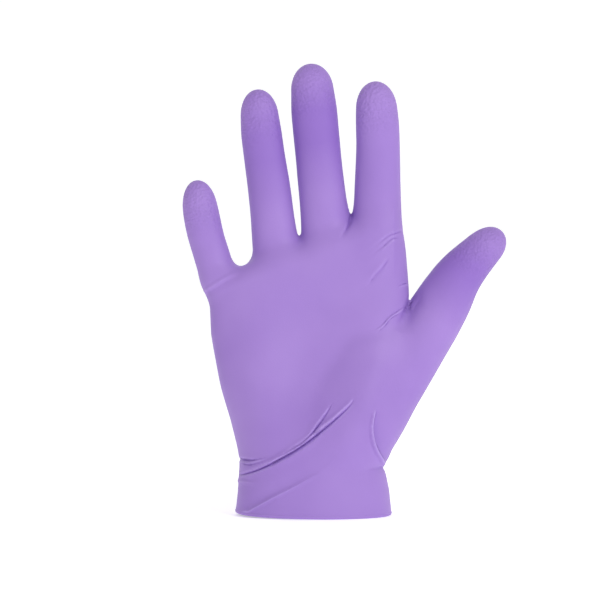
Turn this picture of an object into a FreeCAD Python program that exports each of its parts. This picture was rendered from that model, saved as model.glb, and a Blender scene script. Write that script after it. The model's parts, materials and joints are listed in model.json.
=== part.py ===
"""A disposable nitrile glove in the open-handed shape that it has when worn, as a thin film.

The film is divided where the glove bends. Panels, such as the palm and the finger shafts, keep their shape.
Folds, such as a finger's knuckle fold, are the short bands of film between two panels that stretch.
Frame, in millimetres: the origin is the middle of the wrist opening, +Z runs to the fingertips, +X to the
thumb and -Y out of the palm side. A tilt is measured from +Z towards -X, and a bend from +Z towards -Y.
"""

import FreeCAD
import Part
import Sketcher
import math
import os

from FreeCAD import Placement, Rotation, Vector

FINGERS = ("index", "middle", "ring", "little")
DIGITS = FINGERS + ("thumb",)

SIZES = {
    # the film and its rolled edge
    "film": 0.13,
    "bead_radius": 0.7,
    # the sleeve over the wrist
    "opening_width": 73.0,
    "opening_depth": 49.0,
    "opening_shift": 0.3,
    "sleeve_height": 13.0,
    "sleeve_width": 70.8,
    "sleeve_depth": 46.0,
    "sleeve_shift": 0.5,
    # the wrist, which bends about a line across its middle
    "wrist_height": 25.0,
    "wrist_width": 68.5,
    "wrist_depth": 44.0,
    # the palm, from the heel of the hand up to the crease below the fingers
    "heel_height": 37.0,
    "heel_width": 76.8,
    "heel_depth": 42.0,
    "heel_shift": 1.4,
    "lower_palm_height": 60.0,
    "lower_palm_width": 83.0,
    "lower_palm_depth": 36.0,
    "lower_palm_shift": -1.6,
    "upper_palm_height": 80.0,
    "upper_palm_width": 90.8,
    "upper_palm_depth": 31.0,
    "upper_palm_shift": -1.4,
    # the crease across the palm, about which the four fingers bend together
    "crease_x": -1.9,
    "crease_height": 103.9,
    "crease_tilt": 12.3,
    "crease_fold_half": 10.5,
    "crease_lower_width": 94.5,
    "crease_lower_depth": 28.0,
    "crease_lower_shift": -1.3,
    "crease_upper_width": 96.3,
    "crease_upper_depth": 26.0,
    "crease_upper_shift": 0.8,
    # the web line, where the finger roots close between the fingers
    "web_x": -4.2,
    "web_height": 129.4,
    "web_tilt": 19.5,
    "web_width": 101.2,
    "web_depth": 21.0,
    # all digits
    "depth_ratio": 0.85,
    "thumb_depth_ratio": 0.92,
    "knuckle_rest_bend": 6.0,
    "tip_rest_bend": 6.0,
}

# Each digit: where its first hinge is, how its three lengths of film lie, and how wide it is at each fold.
DIGIT_COLUMNS = (
    "hinge_x",
    "hinge_height",
    "root_tilt",
    "shaft_tilt",
    "tip_tilt",
    "root_length",
    "shaft_length",
    "tip_length",
    "cap_length",
    "knuckle_fold_half",
    "tip_fold_half",
    "root_width",
    "knuckle_width",
    "shaft_width",
    "joint_width",
    "tip_width",
    "cap_width",
)
DIGIT_SIZES = {
    "index": (
        31.0, 155.6, -1.0, 0.0, 3.5, 21.0, 23.7, 24.5, 10.5, 8.8, 5.0,
        22.2, 21.9, 21.1, 20.4, 20.2, 19.0,
    ),
    "middle": (
        4.0, 158.4, 6.5, 5.5, 5.0, 31.0, 26.9, 26.9, 11.5, 9.0, 5.0,
        22.6, 21.8, 21.4, 21.5, 21.6, 20.0,
    ),
    "ring": (
        -19.3, 149.0, 4.3, 8.9, 5.3, 30.0, 25.9, 25.5, 10.5, 8.5, 5.0,
        21.2, 20.5, 19.8, 19.2, 19.1, 17.6,
    ),
    "little": (
        -47.9, 122.7, 21.4, 13.3, 7.5, 11.5, 17.4, 18.0, 9.5, 7.5, 4.8,
        16.8, 17.2, 16.8, 17.0, 16.7, 15.5,
    ),
    "thumb": (
        60.0, 97.1, -31.7, -29.0, -48.0, 61.4, 22.7, 24.6, 9.5, 7.0, 6.0,
        28.0, 27.4, 25.4, 22.8, 20.2, 17.2,
    ),
}
THUMB_FOLD_TILT = -43.0


def make_sheet(doc):
    """The spreadsheet of driving dimensions: a name in column A and its aliased value in column B."""
    sheet = doc.addObject("Spreadsheet::Sheet", "Sizes")
    rows = dict(SIZES)
    for digit, values in DIGIT_SIZES.items():
        for column, value in zip(DIGIT_COLUMNS, values):
            rows[f"{digit}_{column}"] = value
    rows["thumb_fold_tilt"] = THUMB_FOLD_TILT
    for number, (alias, value) in enumerate(rows.items(), start=1):
        sheet.set(f"A{number}", alias)
        sheet.set(f"B{number}", str(value))
        sheet.setAlias(f"B{number}", alias)
    doc.recompute()
    return sheet


def leaning(tilt, bend=0.0):
    """The rotation of film that leans by tilt across the hand, and by bend out of the palm."""
    return Rotation(0, -tilt, bend)


def at(x, z, tilt=0.0, bend=0.0):
    return Placement(Vector(x, 0, z), leaning(tilt, bend))


# ---------------------------------------------------------------------------------------------------------
# Sketches of a cross-section, on the XY plane of their own body and moved to their place in it


def new_sketch(body, name, place):
    sketch = body.newObject("Sketcher::SketchObject", name)
    plane = next(f for f in body.Origin.OriginFeatures if f.Role == "XY_Plane")
    sketch.AttachmentSupport = [(plane, "")]
    sketch.MapMode = "FlatFace"
    sketch.AttachmentOffset = place
    return sketch


def oval(body, name, place, width, depth):
    """An ellipse, wide along X. Width and depth are expressions on the sheet."""
    sketch = new_sketch(body, name, place)
    sketch.addGeometry(Part.Ellipse(Vector(10, 0, 0), Vector(0, 8, 0), Vector(0, 0, 0)), False)
    sketch.exposeInternalGeometry(0)
    sketch.addConstraint(Sketcher.Constraint("Coincident", 0, 3, -1, 1))
    sketch.addConstraint(Sketcher.Constraint("Horizontal", 1))
    across = sketch.addConstraint(Sketcher.Constraint("Distance", 1, 20.0))
    through = sketch.addConstraint(Sketcher.Constraint("Distance", 2, 16.0))
    sketch.setExpression(f"Constraints[{across}]", width)
    sketch.setExpression(f"Constraints[{through}]", depth)
    return sketch


def round_ended(body, name, place, width, depth):
    """Two straight sides along X joined by half circles: the section of a palm or a wrist."""
    sketch = new_sketch(body, name, place)
    arm, radius = 20.0, 15.0
    for sign in (1, -1):
        turn = Part.Circle(Vector(sign * arm, 0, 0), Vector(0, 0, 1), radius)
        start = -sign * math.pi / 2
        sketch.addGeometry(Part.ArcOfCircle(turn, start, start + math.pi), False)
    sketch.addGeometry(Part.LineSegment(Vector(arm, radius, 0), Vector(-arm, radius, 0)), False)
    sketch.addGeometry(Part.LineSegment(Vector(-arm, -radius, 0), Vector(arm, -radius, 0)), False)
    for first, end, second, start in ((0, 2, 2, 1), (2, 2, 1, 1), (1, 2, 3, 1), (3, 2, 0, 1)):
        sketch.addConstraint(Sketcher.Constraint("Tangent", first, end, second, start))
    sketch.addConstraint(Sketcher.Constraint("Equal", 0, 1))
    sketch.addConstraint(Sketcher.Constraint("Symmetric", 0, 3, 1, 3, -1, 1))
    sketch.addConstraint(Sketcher.Constraint("PointOnObject", 0, 3, -1))
    between = sketch.addConstraint(Sketcher.Constraint("DistanceX", 1, 3, 0, 3, 2 * arm))
    round_size = sketch.addConstraint(Sketcher.Constraint("Radius", 0, radius))
    sketch.setExpression(f"Constraints[{between}]", f"{width} - ({depth})")
    sketch.setExpression(f"Constraints[{round_size}]", f"({depth}) / 2")
    return sketch


# ---------------------------------------------------------------------------------------------------------
# Film: a loft through cross-sections, hollowed by the same loft one film thickness smaller all round


def loft(body, kind, name, drawn):
    feature = body.newObject(f"PartDesign::{kind}Loft", name)
    feature.Profile = drawn[0]
    feature.Sections = drawn[1:]
    feature.Ruled = True
    for sketch in drawn:
        sketch.Visibility = False
    return feature


def fill(body, name, draw, sections):
    """Adds the solid through the sections, each a (place, width, depth)."""
    drawn = [draw(body, f"{name}_{i}", *section) for i, section in enumerate(sections)]
    loft(body, "Additive", name, drawn)


def hollow(body, name, draw, sections, closed=False):
    """Takes away the space inside the film. A closed loft keeps one film thickness at its last section."""
    inner = []
    for i, (place, width, depth) in enumerate(sections):
        if closed and i == len(sections) - 1:
            place = place.multiply(Placement(Vector(0, 0, -SIZES["film"]), Rotation()))
        smaller = (f"({width}) - 2 * Sizes.film", f"({depth}) - 2 * Sizes.film")
        inner.append(draw(body, f"{name}_hollow_{i}", place, *smaller))
    loft(body, "Subtractive", f"{name}_hollow", inner)


def new_body(doc, label, place=Placement()):
    body = doc.addObject("PartDesign::Body", label)
    body.Label = label
    body.Placement = place
    return body


def film_tube(doc, label, draw, sections):
    """An open-ended tube of film."""
    body = new_body(doc, label)
    fill(body, "film", draw, sections)
    hollow(body, "film", draw, sections)
    return body


# ---------------------------------------------------------------------------------------------------------
# The places of the folds


class Digit:
    """The centreline of a finger or the thumb: a root, a shaft and a tip, with a fold at both hinges."""

    def __init__(self, sheet, name):
        self.name = name
        self.size = {column: getattr(sheet, f"{name}_{column}") for column in DIGIT_COLUMNS}
        size = self.size
        self.depth_ratio = "Sizes.thumb_depth_ratio" if name == "thumb" else "Sizes.depth_ratio"
        shaft_bend = sheet.knuckle_rest_bend
        tip_bend = shaft_bend + sheet.tip_rest_bend
        self.root_turn = leaning(size["root_tilt"])
        self.shaft_turn = leaning(size["shaft_tilt"], shaft_bend)
        self.tip_turn = leaning(size["tip_tilt"], tip_bend)
        fold_tilt = (size["root_tilt"] + size["shaft_tilt"]) / 2
        if name == "thumb":
            fold_tilt = sheet.thumb_fold_tilt
        self.knuckle_turn = leaning(fold_tilt, shaft_bend / 2)
        middle_tilt = (size["shaft_tilt"] + size["tip_tilt"]) / 2
        self.joint_turn = leaning(middle_tilt, (shaft_bend + tip_bend) / 2)
        self.knuckle = Vector(size["hinge_x"], 0, size["hinge_height"])
        self.joint = self.knuckle + self.shaft_turn.multVec(Vector(0, 0, size["shaft_length"]))

    def width(self, column):
        return f"Sizes.{self.name}_{column}"

    def section(self, place, column):
        width = self.width(column)
        return place, width, f"{width} * {self.depth_ratio}"

    def beside_fold(self, hinge, fold_turn, line_turn, distance):
        """Where the centreline on one side of a hinge crosses the plane that ends the fold."""
        along = line_turn.multVec(Vector(0, 0, 1))
        normal = fold_turn.multVec(Vector(0, 0, 1))
        return Placement(hinge + along * (distance / along.dot(normal)), fold_turn)

    def root_end(self):
        half = self.size["knuckle_fold_half"]
        return self.beside_fold(self.knuckle, self.knuckle_turn, self.root_turn, -half)

    def shaft_start(self):
        half = self.size["knuckle_fold_half"]
        return self.beside_fold(self.knuckle, self.knuckle_turn, self.shaft_turn, half)

    def shaft_end(self):
        half = self.size["tip_fold_half"]
        return self.beside_fold(self.joint, self.joint_turn, self.shaft_turn, -half)

    def tip_start(self):
        half = self.size["tip_fold_half"]
        return self.beside_fold(self.joint, self.joint_turn, self.tip_turn, half)

    def root_start(self):
        back = self.root_turn.multVec(Vector(0, 0, -self.size["root_length"]))
        return Placement(self.knuckle + back, self.root_turn)

    def cap(self):
        """The widest section of the rounded end."""
        reach = self.size["tip_length"] - self.size["cap_length"]
        return Placement(self.joint + self.tip_turn.multVec(Vector(0, 0, reach)), self.tip_turn)

    def root_sections(self):
        start, end = self.root_start(), self.root_end()
        return [self.section(start, "root_width"), self.section(end, "knuckle_width")]


# ---------------------------------------------------------------------------------------------------------
# The sub-parts


def across(width, depth):
    return f"Sizes.{width}", f"Sizes.{depth}"


def crease_place(sheet, distance, shift):
    """A place on the line up the palm through the crease, and beside it by shift."""
    crease = at(sheet.crease_x, sheet.crease_height, sheet.crease_tilt)
    return crease.multiply(Placement(Vector(shift, 0, distance), Rotation()))


def sleeve_sections(sheet):
    return [
        (at(sheet.opening_shift, 2 * sheet.bead_radius), *across("opening_width", "opening_depth")),
        (at(sheet.sleeve_shift, sheet.sleeve_height), *across("sleeve_width", "sleeve_depth")),
    ]


def heel_section(sheet):
    return at(sheet.heel_shift, sheet.heel_height), *across("heel_width", "heel_depth")


def crease_sections(sheet):
    lower = crease_place(sheet, -sheet.crease_fold_half, sheet.crease_lower_shift)
    upper = crease_place(sheet, sheet.crease_fold_half, sheet.crease_upper_shift)
    return [
        (lower, *across("crease_lower_width", "crease_lower_depth")),
        (upper, *across("crease_upper_width", "crease_upper_depth")),
    ]


def cuff_bead(doc, sheet):
    """The film's rolled edge round the wrist opening: a round cord of rubber."""
    body = new_body(doc, "cuff_bead")
    place = at(sheet.opening_shift, sheet.bead_radius)
    path = round_ended(body, "edge_line", place, *across("opening_width", "opening_depth"))
    profile = body.newObject("Sketcher::SketchObject", "roll")
    plane = next(f for f in body.Origin.OriginFeatures if f.Role == "YZ_Plane")
    profile.AttachmentSupport = [(plane, "")]
    profile.MapMode = "FlatFace"
    profile.AttachmentOffset = Placement(Vector(sheet.opening_depth / 2, sheet.bead_radius, 0), Rotation())
    profile.addGeometry(Part.Circle(Vector(0, 0, 0), Vector(0, 0, 1), sheet.bead_radius), False)
    profile.addConstraint(Sketcher.Constraint("Coincident", 0, 3, -1, 1))
    size = profile.addConstraint(Sketcher.Constraint("Radius", 0, sheet.bead_radius))
    profile.setExpression(f"Constraints[{size}]", "Sizes.bead_radius")
    doc.recompute()
    pipe = body.newObject("PartDesign::AdditivePipe", "bead")
    pipe.Profile = profile
    pipe.Spine = path
    return body


def cuff_and_wrist(doc, sheet):
    film_tube(doc, "cuff_sleeve", round_ended, sleeve_sections(sheet))
    waist = (at(sheet.sleeve_shift, sheet.wrist_height), *across("wrist_width", "wrist_depth"))
    film_tube(doc, "wrist_fold", round_ended, [sleeve_sections(sheet)[1], waist, heel_section(sheet)])


def palm(doc, sheet, thumb):
    """The palm and back of the hand, with the ball of the thumb out of its side."""
    body = new_body(doc, "palm")
    ball = thumb.root_sections()
    lower = at(sheet.lower_palm_shift, sheet.lower_palm_height)
    upper = at(sheet.upper_palm_shift, sheet.upper_palm_height)
    levels = [
        heel_section(sheet),
        (lower, *across("lower_palm_width", "lower_palm_depth")),
        (upper, *across("upper_palm_width", "upper_palm_depth")),
        crease_sections(sheet)[0],
    ]
    fill(body, "palm", round_ended, levels)
    fill(body, "ball", oval, ball)
    hollow(body, "palm", round_ended, levels)
    hollow(body, "ball", oval, ball)
    return body


def finger_roots(doc, sheet, fingers):
    """The band above the palm's crease, closed along the web line, and a short tube for every finger."""
    body = new_body(doc, "finger_roots")
    web = (at(sheet.web_x, sheet.web_height, sheet.web_tilt), *across("web_width", "web_depth"))
    band = [crease_sections(sheet)[1], web]
    fill(body, "band", round_ended, band)
    for finger in fingers:
        fill(body, finger.name, oval, finger.root_sections())
    hollow(body, "band", round_ended, band, closed=True)
    for finger in fingers:
        hollow(body, finger.name, oval, finger.root_sections())
    return body


def digit_tip(doc, digit):
    """A thimble of film: a short tube with a rounded end."""
    body = new_body(doc, f"{digit.name}_tip")
    tube = [digit.section(digit.tip_start(), "tip_width"), digit.section(digit.cap(), "cap_width")]
    fill(body, "tube", oval, tube)
    plane = next(f for f in body.Origin.OriginFeatures if f.Role == "XY_Plane")
    for kind, inset in (("Additive", ""), ("Subtractive", " - Sizes.film")):
        if kind == "Subtractive":
            hollow(body, "tube", oval, tube)
        cap = body.newObject(f"PartDesign::{kind}Ellipsoid", f"{kind.lower()}_cap")
        cap.AttachmentSupport = [(plane, "")]
        cap.MapMode = "FlatFace"
        cap.AttachmentOffset = digit.cap()
        width = digit.width("cap_width")
        cap.setExpression("Radius1", f"{digit.width('cap_length')}{inset}")
        cap.setExpression("Radius2", f"{width} / 2{inset}")
        cap.setExpression("Radius3", f"{width} * {digit.depth_ratio} / 2{inset}")
        cap.Angle1 = 0 if kind == "Additive" else -5
        cap.Angle2 = 90
    return body


def digit_panels(doc, digit):
    """The folds, the shaft and the tip of a finger or the thumb."""
    first_fold = "root_fold" if digit.name == "thumb" else "knuckle_fold"
    root_end = digit.section(digit.root_end(), "knuckle_width")
    shaft_start = digit.section(digit.shaft_start(), "shaft_width")
    shaft_end = digit.section(digit.shaft_end(), "joint_width")
    tip_start = digit.section(digit.tip_start(), "tip_width")
    film_tube(doc, f"{digit.name}_{first_fold}", oval, [root_end, shaft_start])
    film_tube(doc, f"{digit.name}_shaft", oval, [shaft_start, shaft_end])
    film_tube(doc, f"{digit.name}_tip_fold", oval, [shaft_end, tip_start])
    digit_tip(doc, digit)


def check(doc):
    """Stops if any object failed to build, or a sub-part isn't one sound solid."""
    failed = [o.Label for o in doc.Objects if "Invalid" in o.State or "Error" in o.State]
    if failed:
        raise RuntimeError(f"these objects failed: {failed}")
    for body in sub_parts(doc):
        shape = body.Shape
        if shape.isNull() or not shape.isValid() or len(shape.Solids) != 1:
            raise RuntimeError(f"{body.Label} isn't one valid solid")


def sub_parts(doc):
    return [o for o in doc.Objects if o.TypeId == "PartDesign::Body"]


def build():
    doc = FreeCAD.newDocument("Glove")
    sheet = make_sheet(doc)
    digits = [Digit(sheet, name) for name in DIGITS]
    thumb = digits[-1]
    cuff_bead(doc, sheet)
    cuff_and_wrist(doc, sheet)
    palm(doc, sheet, thumb)
    film_tube(doc, "palm_crease_fold", round_ended, crease_sections(sheet))
    finger_roots(doc, sheet, digits[:-1])
    for digit in digits:
        digit_panels(doc, digit)
    doc.recompute()
    check(doc)
    return doc


def export(doc):
    os.makedirs("parts", exist_ok=True)
    for body in sub_parts(doc):
        body.Shape.exportStep(f"parts/{body.Label}.step")
        print(f"{body.Label:18s} {body.Shape.Volume:9.1f} mm3")


glove = build()
export(glove)
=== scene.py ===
"""Looks of the disposable nitrile glove: one smooth film modelled over the CAD frame, then parted at seams.

The film is the zero surface of a distance field in millimetres: a slab for the sleeve and palm joined with a
tapering tube for every digit, all measured on the CAD nodes. Its folds are displacements of that surface.
"""

import json
import math

import bpy
import numpy as np
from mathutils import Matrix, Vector

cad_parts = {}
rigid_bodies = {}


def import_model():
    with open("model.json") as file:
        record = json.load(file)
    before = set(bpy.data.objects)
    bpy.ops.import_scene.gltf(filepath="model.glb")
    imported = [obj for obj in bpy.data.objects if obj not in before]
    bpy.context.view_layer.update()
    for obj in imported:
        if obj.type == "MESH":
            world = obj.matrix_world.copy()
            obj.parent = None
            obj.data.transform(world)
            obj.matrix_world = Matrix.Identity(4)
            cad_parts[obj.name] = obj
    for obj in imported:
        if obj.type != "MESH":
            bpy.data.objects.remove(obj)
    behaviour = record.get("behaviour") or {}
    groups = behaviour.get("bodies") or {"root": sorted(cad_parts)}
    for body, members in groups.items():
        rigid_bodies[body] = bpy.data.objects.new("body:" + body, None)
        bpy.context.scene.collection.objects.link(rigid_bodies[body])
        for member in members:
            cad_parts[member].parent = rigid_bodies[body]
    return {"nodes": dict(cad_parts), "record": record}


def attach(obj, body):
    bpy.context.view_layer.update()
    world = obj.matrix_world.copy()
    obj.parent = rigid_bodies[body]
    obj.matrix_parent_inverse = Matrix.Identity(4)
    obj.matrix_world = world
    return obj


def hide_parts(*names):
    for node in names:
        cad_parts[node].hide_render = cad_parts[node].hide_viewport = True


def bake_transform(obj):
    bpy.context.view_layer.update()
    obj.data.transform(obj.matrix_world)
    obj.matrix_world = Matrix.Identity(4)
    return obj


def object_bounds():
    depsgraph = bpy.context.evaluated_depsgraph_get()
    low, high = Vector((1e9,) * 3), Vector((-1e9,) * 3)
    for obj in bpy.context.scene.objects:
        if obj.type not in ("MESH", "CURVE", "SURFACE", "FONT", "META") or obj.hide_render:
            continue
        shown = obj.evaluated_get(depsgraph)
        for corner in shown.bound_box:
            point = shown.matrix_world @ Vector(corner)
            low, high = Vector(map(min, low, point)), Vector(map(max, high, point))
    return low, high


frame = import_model()
cad_low, cad_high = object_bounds()

MM = 1000.0
FINGERS = ("index", "middle", "ring", "little")
DIGITS = FINGERS + ("thumb",)
JOINTS = {joint["name"]: joint for joint in frame["record"]["behaviour"]["joints"]}

# ---------------------------------------------------------------------------------------------------------
# Measures of the CAD frame, in millimetres


def node_points(name):
    """The vertices of a CAD node."""
    data = frame["nodes"][name].data
    co = np.empty(len(data.vertices) * 3, np.float32)
    data.vertices.foreach_get("co", co)
    return co.reshape(-1, 3).astype(float) * MM


def unit(v):
    """The vector of length 1 in the same direction."""
    v = np.asarray(v, float)
    return v / np.linalg.norm(v)


def hinge(name):
    """A hinge's point, its axis, and the direction across the fold that it bends."""
    joint = JOINTS[name]
    axis = unit(joint["axis"])
    return np.array(joint["pos_m"]) * MM, axis, unit(np.cross(axis, (0, 1, 0)))


def end_rings(name, along, share=0.15):
    """The vertices at the two ends of a CAD tube, over a share of its length."""
    points = node_points(name)
    s = points @ along
    low, high = s.min(), s.max()
    reach = share * (high - low)
    return points[s < low + reach], points[s > high - reach]


def section(ring, axis):
    """The middle, half width and half depth of a tube's end."""
    across = ring @ axis
    depth = ring[:, 1]
    middle = np.array([0.0, (depth.min() + depth.max()) / 2, 0.0])
    wide = ring[(across == across.min()) | (across == across.max())]
    middle[[0, 2]] = (wide.min(0)[[0, 2]] + wide.max(0)[[0, 2]]) / 2
    return middle, (across.max() - across.min()) / 2, (depth.max() - depth.min()) / 2


# ---------------------------------------------------------------------------------------------------------
# Tools for distance fields, which are negative inside the film and positive outside


def ramp(value, start, length):
    """0 up to the start, rising evenly to 1 over the length."""
    return np.clip((value - start) / length, 0, 1)


def blurred(stations, values, blur, step=0.5, margin=40.0):
    """A smooth curve through stations, as a table that np.interp reads."""
    grid = np.arange(min(stations) - margin, max(stations) + margin, step)
    order = np.argsort(stations)
    raw = np.interp(grid, np.array(stations)[order], np.array(values)[order])
    reach = int(3 * blur / step)
    kernel = np.exp(-0.5 * (np.arange(-reach, reach + 1) * step / blur) ** 2)
    padded = np.pad(raw, reach, mode="edge")
    return grid, np.convolve(padded, kernel / kernel.sum(), mode="valid")


def read(table, at):
    """The height of a curve that blurred made."""
    return np.interp(at, *table)


def join(a, b, k):
    """The union of two fields with a fillet of about k."""
    h = np.maximum(k - np.abs(a - b), 0) / k
    return np.minimum(a, b) - h * h * k / 4


def cut(a, b, k):
    """The part of field a inside field b, with a rounded edge."""
    return -join(-a, -b, k)


# ---------------------------------------------------------------------------------------------------------
# Digits


class Tube:
    """A tapering elliptical tube with a rounded end, through sections (middle, half width, half depth)."""

    def __init__(self, sections, end, cap, root, blur=2.5):
        first, last = sections[0][0], np.asarray(end, float)
        self.origin = first
        line = last - first
        self.along = unit((line[0], 0, line[2]))
        self.across = np.array([self.along[2], 0, -self.along[0]])
        rows = []
        for middle, width, depth in sections:
            q = middle - first
            rows.append((q @ self.along, q @ self.across, middle[1], width, depth))
        s = [row[0] for row in rows]
        self.length = line @ self.along
        self.cap, self.root = cap, root
        s_end = s + [self.length - 1e-3]
        self.v = blurred(s_end, [row[1] for row in rows] + [line @ self.across], blur)
        self.y = blurred(s_end, [row[2] for row in rows] + [last[1]], 2 * blur)
        self.width = blurred(s, [row[3] for row in rows], blur)
        self.depth = blurred(s, [row[4] for row in rows], 2 * blur)

    def local(self, p):
        """Each point's place along the tube, and its distances from the centreline across it and in depth."""
        q = p - self.origin
        s = q @ self.along
        t = np.minimum(s, self.length)
        return s, q @ self.across - read(self.v, t), p[:, 1] - read(self.y, t)

    def field(self, p):
        """The tube's distance field, near enough true close to its surface."""
        s, v, w = self.local(p)
        a, b = read(self.width, s), read(self.depth, s)
        past_end = s - (self.length - self.cap)
        # how far a point lies past the place where the rounded end at the tip or at the root starts
        beyond = np.where(past_end > 0, past_end, np.maximum(-s, 0))
        cap = np.where(past_end > 0, self.cap, self.root)
        k0 = np.sqrt((v / a) ** 2 + (w / b) ** 2 + (beyond / cap) ** 2)
        k1 = np.sqrt((v / a**2) ** 2 + (w / b**2) ** 2 + (beyond / cap**2) ** 2) + 1e-9
        return k0 * (k0 - 1) / k1


# The share of a tip fold that holds the whole of its end, which leans out of the palm's plane
LEANING_SHARE = 0.42
# A tip's rounded end starts at its first full ring of vertices: the ring's least distances from the tip's two
# ends, the share of the largest ring that counts as full, and half a ring's thickness
RING_MARGINS = (3, 4)
FULL_RING = 0.6
RING_HALF = 0.3
# How much longer the film's rounded end is than the CAD's
CAP = 1.4
# How far each digit's tube runs on into the palm, and how many times as wide it is there
ROOTS = {
    "index": (20, 1.11),
    "middle": (26, 1.12),
    "ring": (26, 1.12),
    "little": (0, 0.97),
    "thumb": (44, 1.09),
}
# How many times as deep a tube is at its root, and the length of the root's rounded end in half widths
ROOT_DEPTH = 1.02
ROOT_CAP = 1.6
# How far the thumb's tube leans where it runs into the palm
THUMB_LEAN = math.radians(31.7)


def digit_tube(name):
    """A digit's tube, from its root in the palm to its tip."""
    root_fold = f"{name}_root_fold" if name == "thumb" else f"{name}_knuckle_fold"
    knuckle = "thumb_root_bend" if name == "thumb" else f"{name}_middle_bend"
    _, knuckle_axis, knuckle_along = hinge(knuckle)
    _, tip_axis, tip_along = hinge(f"{name}_tip_bend")
    rings = [section(ring, knuckle_axis) for ring in end_rings(root_fold, knuckle_along)]
    rings += [section(ring, tip_axis) for ring in end_rings(f"{name}_tip_fold", tip_along, LEANING_SHARE)]
    tip = node_points(f"{name}_tip")
    s_tip = tip @ tip_along
    inner = s_tip[(s_tip > s_tip.min() + RING_MARGINS[0]) & (s_tip < s_tip.max() - RING_MARGINS[1])]
    levels, count = np.unique(np.round(inner, 1), return_counts=True)
    cap_start = levels[count > FULL_RING * count.max()].min()
    rings.append(section(tip[np.abs(s_tip - cap_start) < RING_HALF], tip_axis))
    back = unit(rings[0][0] - rings[1][0])
    if name == "thumb":
        back = unit((-math.sin(THUMB_LEAN), 0, -math.cos(THUMB_LEAN)))
    reach, widen = ROOTS[name]
    root = (rings[0][0] + back * reach, rings[0][1] * widen, rings[0][2] * ROOT_DEPTH)
    cap = (s_tip.max() - cap_start) * CAP
    return Tube([root] + rings, tip[s_tip.argmax()], cap, root[1] * ROOT_CAP)


tubes = {name: digit_tube(name) for name in DIGITS}

# ---------------------------------------------------------------------------------------------------------
# The sleeve and palm

# The palm's side below the little finger, past this x, is measured at these heights in slices of this half
# thickness
SIDE_X = -30
SIDE_LEVELS = (60, 80)
SLICE_HALF = 1
# Over how much height measures are blended into one another
TABLE_BLUR = 4.0
# The palm's right edge beside the index's root and its half depth below the web line, as (height, measure)
INDEX_SIDE = ((128, 43.3), (150, 39))
WEB_HALF_DEPTH = (136, 9.5)
# How far the stretched film lies beside the CAD's straight-sided panels: (height, distance towards +X)
LEFT_TRIM = (
    (10, 0.3), (20, 0), (45, 0.8), (60, 0.2), (85, 0.1), (98, 1.5), (104, 2.0), (112, 1.6), (118, 0.6),
)
RIGHT_TRIM = (
    (0, 0.6), (12, 0.3), (18, -0.4), (22, -1.2), (27, -0.2), (34, 0.5), (42, 0.9), (56, 1.0), (75, 0.5),
)


def slab_tables():
    """The left edge, the right edge and the half depth of the sleeve and palm, by height."""
    up = np.array([0, 0, 1.0])
    rings = list(end_rings("cuff_sleeve", up))
    fold = node_points("wrist_fold")
    middle = JOINTS["wrist_bend"]["pos_m"][2] * MM
    rings += [fold[np.abs(fold[:, 2] - middle) < SLICE_HALF], end_rings("wrist_fold", up)[1]]
    rings += list(end_rings("palm_crease_fold", hinge("knuckle_bend")[2]))
    left = [(ring[ring[:, 0].argmin()][2], ring[:, 0].min()) for ring in rings]
    right = [(ring[ring[:, 0].argmax()][2], ring[:, 0].max()) for ring in rings]
    depth = [(ring[:, 2].mean(), (ring[:, 1].max() - ring[:, 1].min()) / 2) for ring in rings]
    palm = node_points("palm")
    side = palm[palm[:, 0] < SIDE_X]
    for level in SIDE_LEVELS:
        near = side[np.abs(side[:, 2] - level) < SLICE_HALF]
        left.append((level, near[:, 0].min()))
        depth.append((level, near[:, 1].max()))
    web = node_points("finger_roots")
    left.append((web[web[:, 0].argmin()][2], web[:, 0].min()))
    right += INDEX_SIDE
    depth.append(WEB_HALF_DEPTH)
    tables = [blurred(*zip(*rows), TABLE_BLUR) for rows in (left, right, depth)]
    for (grid, values), trim in zip(tables, (LEFT_TRIM, RIGHT_TRIM)):
        values += np.interp(grid, *np.array(trim).T)
    return tables


edge_left, edge_right, half_depth = slab_tables()

# The web line, which closes the palm between the fingers: its distance above the palm's hinge, its tilt, and
# how rounded the film is over it
WEB_RISE = 22.5
WEB_TILT = math.radians(19.5)
WEB_ROUNDING = 8.0
WEB = hinge("knuckle_bend")[0] + hinge("knuckle_bend")[2] * WEB_RISE
WEB_UP = unit((-math.sin(WEB_TILT), 0, math.cos(WEB_TILT)))
# How steeply the palm's levels of equal depth rise towards the thumb's side, and from which height and over
# how much more height they come to do so
PALM_LEAN = 0.22
LEAN_PLACE = (40, 50)
# The power of the sleeve's superellipses, where 2 would be an ellipse, how much larger the palm's is, and
# from which height and over how much more height it grows
SLEEVE_POWER = 2.2
PALM_SQUARER = 0.5
SQUARER_PLACE = (30, 40)
# The knuckles on the back of the hand: their places as (x, z), and their height, half sizes and lean
KNUCKLES = ((28, 114), (7, 118), (-13, 113), (-33, 101))
KNUCKLE_HEIGHT = 1.5
KNUCKLE_SIZE = (6.5, 7.5)
KNUCKLE_LEAN = 10
# The palm's hills and its hollow, as (height, place, half sizes, lean)
PALM_MOUNDS = (
    (6.5, (29, 58), (12, 25), -30),
    (3.5, (-25, 58), (10, 26), 8),
    (-3.0, (3, 82), (13, 20), -10),
)


def mound(x, z, centre, spread, lean):
    """A smooth hill over the palm's plane, 1 at its centre. It leans from Z towards -X by lean degrees."""
    c, s = math.cos(math.radians(lean)), math.sin(math.radians(lean))
    dx, dz = x - centre[0], z - centre[1]
    u, v = (dx * c + dz * s) / spread[0], (-dx * s + dz * c) / spread[1]
    return np.exp(-0.5 * (u * u + v * v))


def back_relief(x, z):
    """How far the back of the hand stands out beyond the plain slab: a knuckle below every finger."""
    return sum(KNUCKLE_HEIGHT * mound(x, z, knuckle, KNUCKLE_SIZE, KNUCKLE_LEAN) for knuckle in KNUCKLES)


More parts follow.
